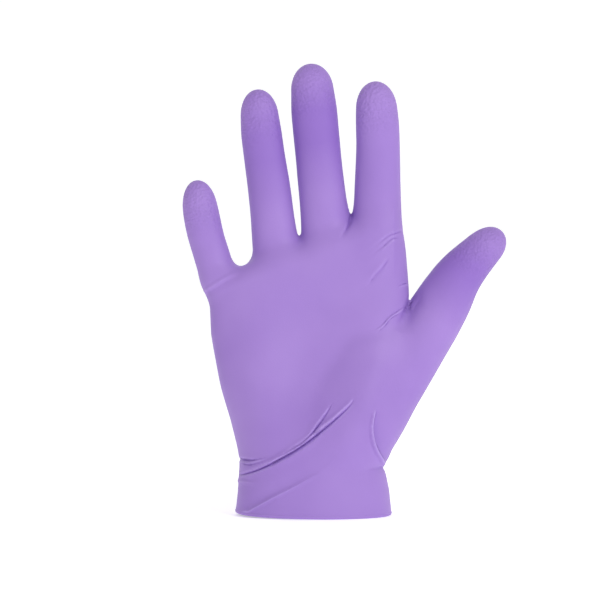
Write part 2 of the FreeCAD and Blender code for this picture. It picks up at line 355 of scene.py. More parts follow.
def palm_relief(x, z):
    """How far the palm side stands out beyond the plain slab: the two balls of the palm and its hollow."""
    return sum(height * mound(x, z, place, size, lean) for height, place, size, lean in PALM_MOUNDS)


def slab(p):
    """The sleeve and palm: rounded slabs, closed at the top along the web line."""
    x, y, z = p.T
    low, high = read(edge_left, z), read(edge_right, z)
    a, middle = (high - low) / 2, (high + low) / 2
    b = read(half_depth, z - PALM_LEAN * ramp(z, *LEAN_PLACE) * x)
    b = b + np.where(y < 0, palm_relief(x, z), back_relief(x, z))
    n = SLEEVE_POWER + PALM_SQUARER * ramp(z, *SQUARER_PLACE)
    u, v = np.abs(x - middle) / a + 1e-6, np.abs(y) / b + 1e-6
    g = (u**n + v**n) ** (1 / n)
    slope = g ** (1 - n) * np.sqrt((u ** (n - 1) / a) ** 2 + (v ** (n - 1) / b) ** 2)
    return cut((g - 1) / slope, (p - WEB) @ WEB_UP, WEB_ROUNDING)


# ---------------------------------------------------------------------------------------------------------
# The whole hand

# The fillet between each finger and the ones before it
FINGER_FILLETS = (("middle", 4.5), ("ring", 3.0), ("little", 4.0))
# The bottom of the thumb's web, as (x, z). The palm's fillets are sharp within the first distance of it and
# grow to their full size over the second.
CROTCH = (46, 99)
CROTCH_REACH = (2, 12)
# The fillets of the thumb and of the fingers with the palm, as (at the web, how much larger elsewhere)
THUMB_FILLET = (0.6, 6.9)
FINGER_FILLET = (0.5, 6.5)
# The fingers' fillet is also sharp past the first x, along the index's free side, and full this far inside it
INDEX_FREE_SIDE = (43, 5)


def hand(p):
    """The glove's outer surface before its folds."""
    digits = tubes["index"].field(p)
    for name, fillet in FINGER_FILLETS:
        digits = join(digits, tubes[name].field(p), fillet)
    from_crotch = ramp(np.hypot(p[:, 0] - CROTCH[0], p[:, 2] - CROTCH[1]), *CROTCH_REACH)
    body = join(slab(p), tubes["thumb"].field(p), THUMB_FILLET[0] + THUMB_FILLET[1] * from_crotch)
    inside = ramp(-p[:, 0], -INDEX_FREE_SIDE[0], INDEX_FREE_SIDE[1])
    return join(body, digits, FINGER_FILLET[0] + FINGER_FILLET[1] * np.minimum(from_crotch, inside))


# ---------------------------------------------------------------------------------------------------------
# The surface mesh

# The four cells round an edge of the grid, in turn
TURN = ((0, 0), (1, 0), (1, 1), (0, 1))


def surface_nets(field, low, high, step):
    """Quads on the field's zero surface: one vertex in every grid cell that it crosses."""
    axes = [np.arange(low[i], high[i] + step, step) for i in range(3)]
    shape = [len(axis) for axis in axes]
    grid = np.stack(np.meshgrid(*axes, indexing="ij"), -1).reshape(-1, 3)
    value = np.concatenate([field(part) for part in np.array_split(grid, 8)]).reshape(shape)
    cells = [n - 1 for n in shape]
    total, count = np.zeros(cells + [3]), np.zeros(cells)
    crossings = []
    for axis in range(3):
        first, second = [i for i in range(3) if i != axis]
        lower, upper = [slice(None)] * 3, [slice(None)] * 3
        lower[axis], upper[axis] = slice(0, -1), slice(1, None)
        a, b = value[tuple(lower)], value[tuple(upper)]
        hit = np.argwhere((a < 0) != (b < 0))
        va, vb = a[tuple(hit.T)], b[tuple(hit.T)]
        point = hit.astype(float)
        point[:, axis] += va / (va - vb)
        around = []
        for first_back, second_back in TURN:
            cell = hit.copy()
            cell[:, first] -= first_back
            cell[:, second] -= second_back
            around.append(cell)
            ok = ((cell >= 0) & (cell < cells)).all(1)
            np.add.at(total, tuple(cell[ok].T), point[ok])
            np.add.at(count, tuple(cell[ok].T), 1)
        whole = np.all([((cell >= 0) & (cell < cells)).all(1) for cell in around], 0)
        crossings.append((axis, [cell[whole] for cell in around], va[whole] < 0))
    used = count > 0
    ids = -np.ones(cells, int)
    ids[used] = np.arange(used.sum())
    vertices = total[used] / count[used][:, None] * step + np.array([axis[0] for axis in axes])
    quads = []
    for axis, around, outward in crossings:
        quad = np.stack([ids[tuple(cell.T)] for cell in around], 1)
        flip = outward == (axis == 1)
        quad[flip] = quad[flip][:, ::-1]
        quads.append(quad)
    return vertices, np.concatenate(quads)


def gradient(field, p, h=0.05):
    """The direction and rate in which the field grows."""
    parts = []
    for axis in range(3):
        d = np.zeros(3)
        d[axis] = h
        parts.append((field(p + d) - field(p - d)) / (2 * h))
    return np.stack(parts, 1)


def project(field, p, rounds=2):
    """Moves points onto the field's zero surface."""
    for _ in range(rounds):
        g = gradient(field, p)
        p = p - g * (field(p) / np.maximum((g**2).sum(1), 1e-6))[:, None]
    return p


def sides_of(quads):
    """The sides of every quad: all first sides, then all second ones, and so on."""
    return np.concatenate([quads[:, [i, (i + 1) % 4]] for i in range(4)])


def edges_of(quads):
    """Every edge once."""
    return np.unique(np.sort(sides_of(quads), 1), axis=0)


def rim_of(quads):
    """The sides that belong to one quad only."""
    sides = sides_of(quads)
    _, first, count = np.unique(np.sort(sides, 1), axis=0, return_index=True, return_counts=True)
    return sides[first[count == 1]]


def renumbered(quads):
    """The vertices that the quads use, and the quads as places in that list."""
    used, index = np.unique(quads, return_inverse=True)
    return used, index.reshape(-1, 4)


def relaxed(vertices, edges, amount=0.5):
    """Each vertex moved towards the mean of its neighbours."""
    total, count = np.zeros_like(vertices), np.zeros(len(vertices))
    for i, j in ((0, 1), (1, 0)):
        np.add.at(total, edges[:, i], vertices[edges[:, j]])
        np.add.at(count, edges[:, i], 1)
    return vertices + amount * (total / np.maximum(count, 1)[:, None] - vertices)


def evened(vertices, quads):
    """The vertices spread evenly over the hand's surface."""
    for _ in range(2):
        vertices = project(hand, relaxed(vertices, edges_of(quads)), 1)
    return vertices


def subdivided(vertices, quads):
    """Every quad divided into four."""
    unique, inverse = np.unique(np.sort(sides_of(quads), 1), axis=0, return_inverse=True)
    n, m = len(vertices), len(unique)
    middles = vertices[unique].mean(1)
    centres = vertices[quads].mean(1)
    ids = n + inverse.reshape(4, -1)
    centre = n + m + np.arange(len(quads))
    parts = [np.stack([quads[:, i], ids[i], centre, ids[(i + 3) % 4]], 1) for i in range(4)]
    return np.concatenate([vertices, middles, centres]), np.concatenate(parts)


def normals_of(vertices, quads):
    """The surface's direction outwards at every vertex."""
    a, b, c, d = (vertices[quads[:, i]] for i in range(4))
    face = np.cross(c - a, d - b)
    total = np.zeros_like(vertices)
    for i in range(4):
        np.add.at(total, quads[:, i], face)
    return total / np.maximum(np.linalg.norm(total, axis=1), 1e-9)[:, None]


# The size of the grid's cells, before every quad is divided into four
STEP = 1.25
# How far the grid reaches beyond the CAD's box
MARGIN = 4
# The height at which the film ends, and the share of a cell by which a quad may start below it
BOTTOM = 1.3
BELOW_BOTTOM = 0.3


def film_surface():
    """The hand's surface above its bottom, as fine, even quads."""
    low, high = np.array(cad_low) * MM - MARGIN, np.array(cad_high) * MM + MARGIN
    vertices, quads = surface_nets(hand, low, high, STEP)
    vertices = evened(project(hand, vertices), quads)
    vertices, quads = subdivided(vertices, quads)
    vertices = evened(vertices, quads)
    above = vertices[quads][:, :, 2].min(1) > BOTTOM - STEP * BELOW_BOTTOM
    used, quads = renumbered(quads[above])
    return vertices[used], quads


# The lower edge rises towards the little finger's side: by how much, from which -x, over which width, and how
# far up the glove this is felt
EDGE_RISE = 1.3
EDGE_RISE_PLACE = (2, 34)
EDGE_RISE_REACH = 10


def edge_lift(x):
    """How far the lower edge stands above its lowest place."""
    return EDGE_RISE * ramp(-x, *EDGE_RISE_PLACE) ** 2


vertices, quads = film_surface()
above_bottom = np.maximum(vertices[:, 2] - BOTTOM, 0)
vertices[:, 2] += edge_lift(vertices[:, 0]) * np.exp(-above_bottom / EDGE_RISE_REACH)

# ---------------------------------------------------------------------------------------------------------
# Fold lines, from end to end, as (x, z)

# On the palm side of the wrist
WRIST_FOLD = ((-36, 18.5), (-26, 22), (-16, 27), (-5, 33.5), (6.5, 42.5), (17, 52), (20, 57))
UPPER_BRANCH = ((-18.5, 26.5), (-9, 32.5), (-5, 35), (0, 39.5), (6.5, 48.5), (10.5, 55.5))
SIDE_FOLD = ((-36, 28), (-34, 27), (-30.5, 26.5), (-26, 27), (-18.5, 29))
SIDE_FOLD_2 = ((-34, 25), (-29.5, 24.5), (-25.5, 25.5), (-18, 28))
CUFF_FOLD = ((-34.5, 2.5), (-29.5, 3), (-26, 5), (-18.5, 9.5), (-9, 14.5), (-1, 19), (4.5, 22.5), (13.5, 31))
THUMB_TUCK = ((29.5, 51), (28, 43), (28.5, 37), (30.5, 31.5), (34.5, 24))
# On the palm
INDEX_CREASE = ((43.5, 133.5), (39, 132), (35.5, 130.5), (30, 126.5), (22, 121))
INDEX_CREASE_2 = ((42, 130), (37.5, 129.5), (32, 125), (24.5, 119.5))
INDEX_CREASE_3 = ((37, 121.5), (33, 116), (28.5, 111), (23, 104))
INDEX_CREASE_4 = ((45, 109), (41.5, 108), (38, 106))
WEB_CREASE = ((44, 98.5), (39, 95), (36, 93), (32, 89), (27, 86.5))
WEB_CREASE_2 = ((41.5, 95), (37, 92.5), (34, 89), (29, 85))
LITTLE_CREASE = ((-50, 103), (-44.5, 106.5), (-36, 111.5), (-29.5, 114))
CROTCH_FOLD = ((18.5, 141.5), (16.5, 135), (12, 128))
THUMB_CROTCH = ((46.5, 101), (43.5, 95), (38, 86.5))
THENAR_VALLEY = ((46, 98), (40, 91.5), (28, 86.5), (18.5, 84), (11.5, 75.5), (4.5, 65), (0, 54), (-2, 46))
# On the back of the wrist
BACK_WRIST_RIGHT = ((36, 22.6), (30, 21.0), (20, 20.8), (10, 23.0), (0, 26.5), (-8, 31))
BACK_WRIST_LEFT = ((-36, 26.2), (-30, 24.6), (-22, 24.4), (-12, 27), (-3, 31.5), (4, 37))
BACK_WRIST_UPPER = ((32, 32), (25, 30), (17, 30.6), (9, 34))
BACK_CUFF = ((-31, 7), (-22, 9), (-10, 12), (4, 17))
# Where the tendons from the knuckles end at the wrist
TENDON_FEET = ((10, 48), (3, 48), (-4, 48), (-12, 48))

# For every fold: its line, the shares of its length over which it rises and fades, and its ridges (height
# above 0) and grooves, as (height, place left of the line, half width on the right, half width on the left)
FOLD_LINES = (
    (WRIST_FOLD, 0.45, 0.45, ((-1.3, 0.0, 0.35, 0.35), (1.3, 0.6, 0.35, 1.4), (0.25, -1.8, 1.4, 1.0))),
    (WRIST_FOLD, 0.02, 0.6, ((-0.55, 0.0, 0.4, 0.4), (0.3, -0.8, 0.9, 0.4))),
    (UPPER_BRANCH, 0.3, 0.35, ((-1.0, 0.0, 0.35, 0.35), (0.5, 0.5, 0.3, 2.2))),
    (SIDE_FOLD, 0.02, 0.6, ((-0.9, 0.0, 0.35, 0.35), (0.5, -0.8, 0.9, 0.35))),
    (SIDE_FOLD_2, 0.2, 0.6, ((-0.45, 0.0, 0.4, 0.4), (0.3, 0.7, 0.3, 0.8))),
    (CUFF_FOLD, 0.15, 0.6, ((0.55, 0.0, 0.8, 0.55), (-0.5, 2.2, 1.5, 3.2))),
    (THUMB_TUCK, 0.55, 0.0, ((-2.0, 1.3, 0.9, 4.6), (0.7, -0.5, 0.9, 0.6))),
    (THUMB_TUCK, 0.1, 0.5, ((0.7, -0.3, 0.7, 0.4), (-0.5, 0.6, 0.4, 1.6))),
    (INDEX_CREASE, 0.15, 0.55, ((-0.28, 0.0, 0.5, 0.5), (0.22, -0.9, 0.8, 0.5))),
    (INDEX_CREASE_2, 0.35, 0.5, ((-0.28, 0.0, 0.4, 0.4), (0.2, 0.8, 0.4, 1.6))),
    (INDEX_CREASE_3, 0.25, 0.6, ((-0.4, 0.0, 0.6, 0.6), (0.35, -1.2, 1.8, 0.6))),
    (INDEX_CREASE_4, 0.05, 0.7, ((-0.25, 0.0, 0.4, 0.4), (0.15, 0.7, 0.4, 0.9))),
    (WEB_CREASE, 0.15, 0.5, ((-0.35, 0.0, 0.35, 0.35), (0.25, 0.6, 0.4, 0.6))),
    (WEB_CREASE_2, 0.2, 0.5, ((-0.35, 0.0, 0.35, 0.35), (0.2, -0.6, 0.5, 0.4))),
    (LITTLE_CREASE, 0.02, 0.6, ((-0.35, 0.0, 1.4, 0.9), (0.22, 1.8, 0.7, 1.4), (-0.15, 3.2, 0.6, 0.8))),
    (CROTCH_FOLD, 0.0, 0.7, ((-1.0, 0.0, 0.6, 1.0),)),
    (THUMB_CROTCH, 0.0, 0.8, ((-1.8, 0.4, 1.5, 4.5),)),
    (THENAR_VALLEY, 0.2, 0.4, ((-0.9, 0.0, 5.0, 5.0),)),
)
BACK_LINES = [
    (BACK_WRIST_RIGHT, 0.05, 0.5, ((-0.9, 0.0, 0.4, 0.4), (0.9, -0.6, 1.6, 0.4))),
    (BACK_WRIST_LEFT, 0.05, 0.5, ((-0.9, 0.0, 0.4, 0.4), (0.9, 0.6, 0.4, 1.6))),
    (BACK_WRIST_UPPER, 0.2, 0.6, ((-0.5, 0.0, 0.4, 0.4), (0.4, -0.7, 1.2, 0.4))),
    (BACK_CUFF, 0.2, 0.6, ((-0.5, 0.0, 0.5, 2.0), (0.5, -0.5, 0.8, 0.5))),
]
for knuckle, foot in zip(KNUCKLES, TENDON_FEET):
    halfway = ((knuckle[0] + foot[0]) / 2, (knuckle[1] + foot[1]) / 2)
    BACK_LINES.append(((knuckle, halfway, foot), 0.25, 0.5, ((0.35, 0.0, 2.5, 2.5),)))

# The wrinkles at each hinge of a digit, as (distance along the digit, share of the longest one's length)
WRINKLES = ((-2.2, 0.7), (-0.2, 1.0), (1.9, 0.8))
# The longest wrinkle's share of the digit's width, and every wrinkle's points, as (share across, sag)
WRINKLE_WIDTH = 0.75
WRINKLE_POINTS = ((-1, 0.3), (-0.4, -0.2), (0.3, 0.15), (1, -0.1))
WRINKLE_PROFILE = ((-0.28, 0.0, 0.5, 0.5),)


def knuckle_wrinkles():
    """Short wrinkles across the back of every digit, at the hinges that bend it."""
    joints = [(name, f"{name}_{place}_bend") for name in FINGERS for place in ("middle", "tip")]
    lines = []
    for name, joint in joints + [("thumb", "thumb_tip_bend")]:
        point, axis, along = hinge(joint)
        half = WRINKLE_WIDTH * read(tubes[name].width, (point - tubes[name].origin) @ tubes[name].along)
        for shift, reach in WRINKLES:
            ends = [point + along * (shift + sag) + axis * half * reach * u for u, sag in WRINKLE_POINTS]
            lines.append((tuple((end[0], end[2]) for end in ends), 0.3, 0.3, WRINKLE_PROFILE))
    return lines


# ---------------------------------------------------------------------------------------------------------
# Folds: the film's creases, as displacements along its normals


def spline(points, count=60):
    """A Catmull-Rom curve through points."""
    p = np.array([points[0], *points, points[-1]], float)
    p[0] += p[1] - p[2]
    p[-1] += p[-2] - p[-3]
    out = []
    for t in np.linspace(0, len(points) - 1, count):
        i = min(int(t), len(points) - 2)
        u = t - i
        a, b, c, d = p[i : i + 4]
        square, cube = 2 * a - 5 * b + 4 * c - d, 3 * b - a - 3 * c + d
        out.append(0.5 * (2 * b + (c - a) * u + square * u**2 + cube * u**3))
    return np.array(out)


def along_curve(x, z, curve):
    """Distances from a curve, negative on its right, the nearest places on it, and their shares of it."""
    best, side, share = np.full(len(x), 1e9), np.zeros(len(x)), np.zeros(len(x))
    place = np.zeros((len(x), 2))
    n = len(curve) - 1
    for i in range(n):
        a, b = curve[i], curve[i + 1]
        ab = b - a
        t = np.clip(((x - a[0]) * ab[0] + (z - a[1]) * ab[1]) / (ab @ ab), 0, 1)
        near_x, near_z = a[0] + t * ab[0], a[1] + t * ab[1]
        dx, dz = x - near_x, z - near_z
        d = np.hypot(dx, dz)
        closer = d < best
        best[closer] = d[closer]
        side[closer] = (np.sign(ab[0] * dz - ab[1] * dx) * d)[closer]
        share[closer] = ((i + t) / n)[closer]
        place[closer] = np.stack([near_x, near_z], 1)[closer]
    return side, place, share


def taper(share, start, end):
    """0 at the curve's ends, and 1 between the shares start and end of its length."""
    rise = np.clip(share / start, 0, 1) if start else np.ones_like(share)
    fall = np.clip((1 - share) / end, 0, 1) if end else np.ones_like(share)
    both = rise * fall
    return both * both * (3 - 2 * both)


def near_curve(p, curve, reach):
    """Which points are in the curve's box, enlarged by reach."""
    low, high = curve.min(0) - reach, curve.max(0) + reach
    return (p[:, 0] > low[0]) & (p[:, 0] < high[0]) & (p[:, 2] > low[1]) & (p[:, 2] < high[1])


def fold_heights(p, lines):
    """How far fold lines lift the film at each point."""
    out = np.zeros(len(p))
    for line, start, end, profile in lines:
        curve = spline(line)
        near = near_curve(p, curve, 4 * max(max(part[2:]) for part in profile) + 2)
        side, _, share = along_curve(p[near, 0], p[near, 2], curve)
        fade = taper(share, start, end)
        for height, offset, right, left in profile:
            d = side - offset
            out[near] += height * fade * np.exp(-((d / np.where(d > 0, left, right)) ** 2))
    return out


# The share of the way to a fold line that the film's points are drawn, and the distance over which they are
GATHER = 0.62
GATHER_REACH = 1.2
# Folds with a wider main part than this need no finer mesh
WIDEST_SHARP = 1


def gathered(p, quads):
    """The film's points drawn towards its fold lines, where the mesh has to be finest."""
    facing = normals_of(p, quads)[:, 1]
    sided = [(line, facing < 0) for line in FOLD_LINES] + [(line, facing > 0) for line in BACK_LINES]
    for (line, _, _, profile), this_side in sided:
        if max(profile[0][2:]) > WIDEST_SHARP:
            continue
        curve = spline(line)
        near = this_side & near_curve(p, curve, 3 * GATHER_REACH)
        side, place, _ = along_curve(p[near, 0], p[near, 2], curve)
        pull = GATHER * np.exp(-((side / GATHER_REACH) ** 2))[:, None]
        p[np.ix_(near, (0, 2))] += pull * (place - p[np.ix_(near, (0, 2))])
    return project(hand, p, 1)


# The folds that run round the sides of the wrist start this far from its middle and rise over this width
SIDE_PLACE = (24, 8)
# Those on the thumb's side and on the little finger's side, as (height, place up the glove, half width)
THUMB_SIDE_FOLDS = ((-0.8, 22.6, 1.3), (0.4, 28.0, 2.5))
LITTLE_SIDE_FOLDS = ((-0.6, 26.2, 0.7), (0.45, 16.2, 0.8))
# How far the lower edge flares, how much more on the little finger's side, and how far up this is felt
FLARE = 0.15
LITTLE_FLARE = 0.5
FLARE_REACH = 1.6


def side_folds(p):
    """The folds round the sides of the wrist, and the flare of the lower edge."""
    x, _, z = p.T
    thumb_side, little_side = ramp(x, *SIDE_PLACE), ramp(-x, *SIDE_PLACE)
    out = (FLARE + LITTLE_FLARE * little_side) * np.exp(-np.maximum(z - BOTTOM, 0) / FLARE_REACH)
    for side, rows in ((thumb_side, THUMB_SIDE_FOLDS), (little_side, LITTLE_SIDE_FOLDS)):
        for height, level, half in rows:
            out += height * side * np.exp(-(((z - level) / half) ** 2))
    return out


# The height of the film's uneven waves, which are a few centimetres long
SWELL = 0.16


def swell(p):
    """The slight unevenness of a film that is stretched over a hand."""
    x, y, z = p.T / 10
    out = 0.5 * np.sin(1.3 * x + 0.7 * z + 1.1) * np.sin(0.9 * z - 0.8 * x + 2.0 + 0.6 * y)
    out += 0.3 * np.sin(2.3 * x - 1.9 * z + 0.4) * np.sin(1.7 * y + 0.5 * z)
    return SWELL * out


# How strong the folds of the palm side and of the back are on the hand's very sides, and how fast they grow
# to their full height as the film turns to face their way
FOLDS_AT_SIDES = 0.1
FOLDS_GROW = 1.6


def folded(vertices, quads):
    """The film with its folds."""
    normals = normals_of(vertices, quads)
    to_front, to_back = -normals[:, 1], normals[:, 1]
    front, back = (np.clip(FOLDS_AT_SIDES + FOLDS_GROW * facing, 0, 1) for facing in (to_front, to_back))
    height = fold_heights(vertices, FOLD_LINES) * front
    height += fold_heights(vertices, BACK_LINES + knuckle_wrinkles()) * back
    height += side_folds(vertices) + swell(vertices)
    return vertices + normals * height[:, None]


def sharpness(p, quads, normals):
    """The film's mean curvature at each point, in 1/mm: positive on ridges, negative in grooves."""
    start, end = sides_of(quads).T
    step = p[end] - p[start]
    bend = -2 * (step * normals[start]).sum(1) / (step**2).sum(1)
    count = np.bincount(start, minlength=len(p))
    out = np.bincount(start, bend, len(p)) / count
    return (out + np.bincount(start, out[end], len(p)) / count) / 2


# The curvature from which ridges get a painted highlight and grooves painted shade, and how much more gives
# the full amount
CREST_HIGHLIGHT_CURVATURE = (0.14, 0.5)
GROOVE_SHADE_CURVATURE = (0.1, 0.6)

vertices = gathered(vertices, quads)
vertices = folded(vertices, quads)
normals = normals_of(vertices, quads)
curvature = sharpness(vertices, quads, normals)

# ---------------------------------------------------------------------------------------------------------
# Seams: every piece crosses at most one hinge, and pieces meet where the CAD on both sides rides on the same
# body


class Fold:
    """A CAD fold: the hinge in its middle and the two planes where it starts and ends."""

    def __init__(self, node, joint):
        self.point, axis, self.along = hinge(joint)
        self.bodies = JOINTS[joint]["parent"], JOINTS[joint]["child"]
        low, high = (section(ring, axis)[0] for ring in end_rings(node, self.along))
        self.low, self.high = (low - self.point) @ self.along, (high - self.point) @ self.along
        self.start, self.end = self.point + self.along * self.low, self.point + self.along * self.high

    def height(self, p):
        """Each point's distance above the hinge."""
        return (p - self.point) @ self.along


folds = {"wrist": Fold("wrist_fold", "wrist_bend"), "palm": Fold("palm_crease_fold", "knuckle_bend")}
for name in FINGERS:
    folds[name] = Fold(f"{name}_knuckle_fold", f"{name}_middle_bend")
folds["thumb"] = Fold("thumb_root_fold", "thumb_root_bend")
for name in DIGITS:
    folds[f"{name}_tip"] = Fold(f"{name}_tip_fold", f"{name}_tip_bend")

# How far below its fold a digit's piece starts, how far above the wrist's fold the wrist's piece ends, and
# how far below the palm's crease the palm's piece starts
SEAM = {"index": 2.3, "middle": 2.3, "ring": 2.3, "little": 1.6, "thumb": 4.0}
CUFF_SEAM = 3.0
PALM_SEAM = 8.0
# The thumb's piece lies past this x and on the thumb's side of a line through its web. This is the line's
# normal, and how far the piece reaches past the line.
THUMB_LEFT = 44
THUMB_NORMAL = (0.92, -0.38)
THUMB_OVERLAP = 0.3


def piece_of(p):
    """The name of the piece that each point belongs to."""
    distance = np.stack([tubes[name].field(p) for name in DIGITS])
    nearest = distance.argmin(0)
    out = np.full(len(p), "palm", dtype=object)
    for i, name in enumerate(DIGITS):
        root, tip = folds[name], folds[f"{name}_tip"]
        mine = (nearest == i) & (root.height(p) > root.low - SEAM[name])
        if name == "thumb":
            beside = (p[:, 0] - CROTCH[0]) * THUMB_NORMAL[0] + (p[:, 2] - CROTCH[1]) * THUMB_NORMAL[1]
            mine &= (p[:, 0] > THUMB_LEFT) & (beside > -THUMB_OVERLAP)
        out[mine] = name
        middle = (root.end + tip.start) / 2
        out[mine & ((p - middle) @ tip.along > 0)] = f"{name}_tip"
    out[(out == "palm") & (folds["palm"].height(p) < folds["palm"].low - PALM_SEAM)] = "heel"
    out[folds["wrist"].height(p) < folds["wrist"].high + CUFF_SEAM] = "wrist"
    return out


# The CAD nodes that each piece stands for
STANDS_FOR = {
    "wrist": ("cuff_sleeve", "wrist_fold"),
    "heel": ("palm",),
    "palm": ("palm", "palm_crease_fold", "finger_roots"),
}
for name in DIGITS:
    fold_node = "thumb_root_fold" if name == "thumb" else f"{name}_knuckle_fold"
    STANDS_FOR[name] = (fold_node, f"{name}_shaft")
    STANDS_FOR[f"{name}_tip"] = (f"{name}_tip_fold", f"{name}_tip")

# ---------------------------------------------------------------------------------------------------------
# Where the film's texture and colour change, and where light and shade are painted, as values on its points

# How far a fingertip's grip texture reaches down from the tip, and the length over which it grows to the full
GRIP_LENGTH = 30
GRIP_FADE = 14
# How near a point lies to the tube of the digit that it is on
NEAR_GRIP = 2
NEAR_COLOUR = 2.5
# How deep each digit's colour is, the length over which it deepens from the root, and how it pales at the
# tip: the share that is lost, from which distance to the end, and over which length
COLOUR_DEPTHS = {"little": 0.35, "ring": 0.85, "middle": 1.0, "index": 0.25, "thumb": 1.0}
DEEPENING = 25
TIP_PALER = 0.85
TIP_PALE_FROM = 22
TIP_PALE_LENGTH = 14


def grip(p):
    """How strong the fingertips' grip texture is: 1 over each tip, fading down the finger."""
    out = np.zeros(len(p))
    for tube in tubes.values():
        s, _, _ = tube.local(p)
        near = tube.field(p) < NEAR_GRIP
        out = np.maximum(out, near * ramp(s, tube.length - GRIP_LENGTH, GRIP_FADE))
    return out


def depth_of_colour(p):
    """How deep the film's colour is: deepest on the digits, by a set amount for each, and paler towards each
    tip.
    """
    out = np.zeros(len(p))
    for name, depth in COLOUR_DEPTHS.items():
        tube = tubes[name]
        s, _, _ = tube.local(p)
        paler = TIP_PALER * ramp(s, tube.length - TIP_PALE_FROM, TIP_PALE_LENGTH)
        share = ramp(s, ROOTS[name][0], DEEPENING) * (1 - paler)
        out = np.maximum(out, depth * share * (tube.field(p) < NEAR_COLOUR))
    return out


labels = piece_of(vertices[quads].mean(1))
ATTRIBUTES = {
    "grip": grip(vertices),
    "depth": depth_of_colour(vertices),
    # A painted highlight on ridges, by their curvature
    "painted_crest_highlight": ramp(curvature, *CREST_HIGHLIGHT_CURVATURE),
    # Painted shade in grooves, by their curvature
    "painted_groove_shade": ramp(-curvature, *GROOVE_SHADE_CURVATURE),
}

# ---------------------------------------------------------------------------------------------------------
# The film's material

# The base colour varies between two tones and deepens towards a third. Ridges get a painted highlight and
# grooves painted shade.
BASE_DARK = (0.34, 0.203, 0.60)
BASE_LIGHT = (0.38, 0.235, 0.64)
TINTS_AND_PAINTED_LIGHT = {"depth": (0.28, 0.153, 0.55), "painted_crest_highlight": (0.46, 0.31, 0.74), "painted_groove_shade": (0.24, 0.13, 0.48)}
ROUGHNESS = 0.5
SPECULAR = 0.3
# The scales of the noises are per metre: the tone's patches, the fine grain and the grip's dots
TONE_SCALE = 28
GRAIN_SCALE = 1600
GRIP_SCALE = 800
# Each texture's height in metres and its strength
GRAIN_BUMP = (0.00012, 0.35)
GRIP_BUMP = (0.0006, 0.8)


def nitrile():
    """Satin purple rubber, with painted highlights on ridges and painted shade in grooves, a fine grain and a
    coarser grip texture where the grip attribute says.
    """
    m = bpy.data.materials.new("nitrile")
    m.use_nodes = True
    nodes, links = m.node_tree.nodes, m.node_tree.links
    shader = nodes["Principled BSDF"]
    shader.inputs["Roughness"].default_value = ROUGHNESS
    shader.inputs["Specular IOR Level"].default_value = SPECULAR
    place = nodes.new("ShaderNodeTexCoord").outputs["Object"]

    def attribute(name):
        node = nodes.new("ShaderNodeAttribute")
        node.attribute_name = name
        return node.outputs["Fac"]

    def noise(scale):
        node = nodes.new("ShaderNodeTexNoise")
        node.inputs["Scale"].default_value = scale
        node.inputs["Detail"].default_value = 2
        links.new(place, node.inputs["Vector"])
        return node.outputs["Fac"]

    def bump(height, distance, strength):
        node = nodes.new("ShaderNodeBump")
        node.inputs["Distance"].default_value = distance
        node.inputs["Strength"].default_value = strength
        links.new(height, node.inputs["Height"])
        return node

    tones = nodes.new("ShaderNodeValToRGB")
    for element, position, tone in zip(tones.color_ramp.elements, (0.3, 0.7), (BASE_DARK, BASE_LIGHT)):
        element.position, element.color = position, (*tone, 1)
    links.new(noise(TONE_SCALE), tones.inputs["Fac"])
    colour = tones.outputs["Color"]
    # The tone deepens by the depth attribute, ridges get a painted highlight and grooves painted shade
    for name, tint in TINTS_AND_PAINTED_LIGHT.items():
        mix = nodes.new("ShaderNodeMixRGB")
        mix.inputs["Color2"].default_value = (*tint, 1)
        links.new(attribute(name), mix.inputs["Fac"])
        links.new(colour, mix.inputs["Color1"])
        colour = mix.outputs["Color"]
    links.new(colour, shader.inputs["Base Color"])

    dots = nodes.new("ShaderNodeTexVoronoi")
    dots.inputs["Scale"].default_value = GRIP_SCALE
    links.new(place, dots.inputs["Vector"])
    masked = nodes.new("ShaderNodeMath")
    masked.operation = "MULTIPLY"
    links.new(dots.outputs["Distance"], masked.inputs[0])
    links.new(attribute("grip"), masked.inputs[1])
    grain = bump(noise(GRAIN_SCALE), *GRAIN_BUMP)
    stipple = bump(masked.outputs["Value"], *GRIP_BUMP)
    links.new(grain.outputs["Normal"], stipple.inputs["Normal"])
    links.new(stipple.outputs["Normal"], shader.inputs["Normal"])
    return m


film_material = nitrile()

# ---------------------------------------------------------------------------------------------------------
# The film's pieces

# The film's thickness
FILM = 0.3


def make_mesh(name, points, faces, facing=None):
    """A smooth mesh object from points in millimetres, with its own normals where they are given."""
    mesh = bpy.data.meshes.new(name)
    mesh.vertices.add(len(points))
    mesh.vertices.foreach_set("co", (points / MM).astype(np.float32).ravel())
    mesh.loops.add(faces.size)
    mesh.loops.foreach_set("vertex_index", faces.astype(np.int32).ravel())
    mesh.polygons.add(len(faces))
    mesh.polygons.foreach_set("loop_start", np.arange(0, faces.size, faces.shape[1], dtype=np.int32))
    mesh.polygons.foreach_set("use_smooth", np.ones(len(faces), bool))
    mesh.update(calc_edges=True)
    mesh.validate()
    if facing is not None:
        mesh.normals_split_custom_set_from_vertices(facing.astype(np.float32))
    obj = bpy.data.objects.new(name, mesh)
    bpy.context.scene.collection.objects.link(obj)
    return obj


def add_attribute(obj, name, values):
    """Stores a value for every vertex of the object."""
    attribute = obj.data.attributes.new(name, "FLOAT", "POINT")
    attribute.data.foreach_set("value", values.astype(np.float32))


def shell(faces):
    """A closed thin shell from some of the film's faces: outside, inside and the rim between."""
    used, outer = renumbered(faces)
    n = len(used)
    inner = outer[:, ::-1] + n
    rim = rim_of(outer)
    wall = np.stack([rim[:, 1], rim[:, 0], rim[:, 0] + n, rim[:, 1] + n], 1)
    points = np.concatenate([vertices[used], vertices[used] - normals[used] * FILM])
    facing = np.concatenate([normals[used], -normals[used]])
    return points, np.concatenate([outer, inner, wall]), facing, used


